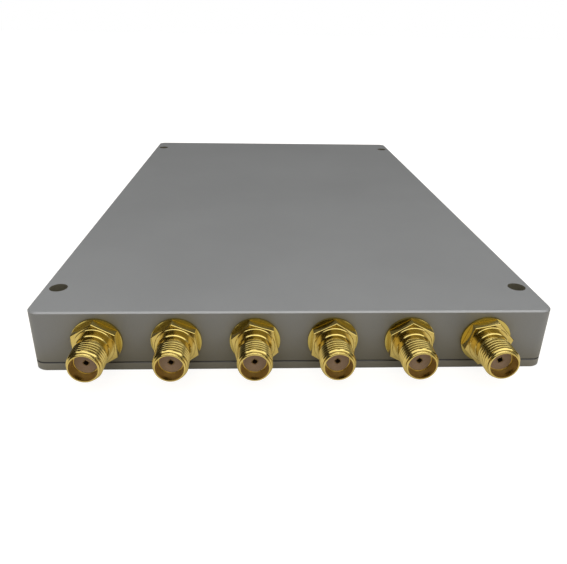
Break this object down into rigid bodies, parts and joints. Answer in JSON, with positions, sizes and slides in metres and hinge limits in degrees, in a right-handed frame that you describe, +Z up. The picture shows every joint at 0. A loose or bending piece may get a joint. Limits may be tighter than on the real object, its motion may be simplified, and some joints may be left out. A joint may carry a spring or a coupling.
{
  "type": "rf power splitter",
  "caption": "Flat milled aluminium box that splits one radio-frequency input between a row of threaded coaxial output ports.",
  "frame": {"origin": "middle of the underside, on the resting face", "axes": "+Z up through the thin height, +Y along the length towards the input port, output ports face -Y, +X to the right seen from the output side"},
  "size_m": [0.098, 0.1768, 0.0124],
  "materials": {
    "housing": "satin grey conversion coat on milled metal",
    "cover": "satin grey conversion coat on plate",
    "screw_steel": "plain passivated",
    "board": "glass-fibre laminate",
    "copper": "gold-flashed copper",
    "chip": "ceramic chip",
    "gold": "turned, gold plated",
    "gold_washer": "gold plated",
    "insulator": "white fluoropolymer",
    "contact": "gold plated"
  },
  "bodies": {
    "root": {"housing_body": "housing", "bottom_cover": "cover", "cover_screws": "screw_steel", "circuit_board": "board", "splitter_traces": "copper", "isolation_resistors": "chip", "board_screws": "screw_steel", "output_shell_1": "gold", "output_washer_1": "gold_washer", "output_insulator_1": "insulator", "output_contact_1": "contact", "output_shell_2": "gold", "output_washer_2": "gold_washer", "output_insulator_2": "insulator", "output_contact_2": "contact", "output_shell_3": "gold", "output_washer_3": "gold_washer", "output_insulator_3": "insulator", "output_contact_3": "contact", "output_shell_4": "gold", "output_washer_4": "gold_washer", "output_insulator_4": "insulator", "output_contact_4": "contact", "output_shell_5": "gold", "output_washer_5": "gold_washer", "output_insulator_5": "insulator", "output_contact_5": "contact", "output_shell_6": "gold", "output_washer_6": "gold_washer", "output_insulator_6": "insulator", "output_contact_6": "contact", "input_shell": "gold", "input_washer": "gold_washer", "input_insulator": "insulator", "input_contact": "contact"}
  },
  "joints": []
}
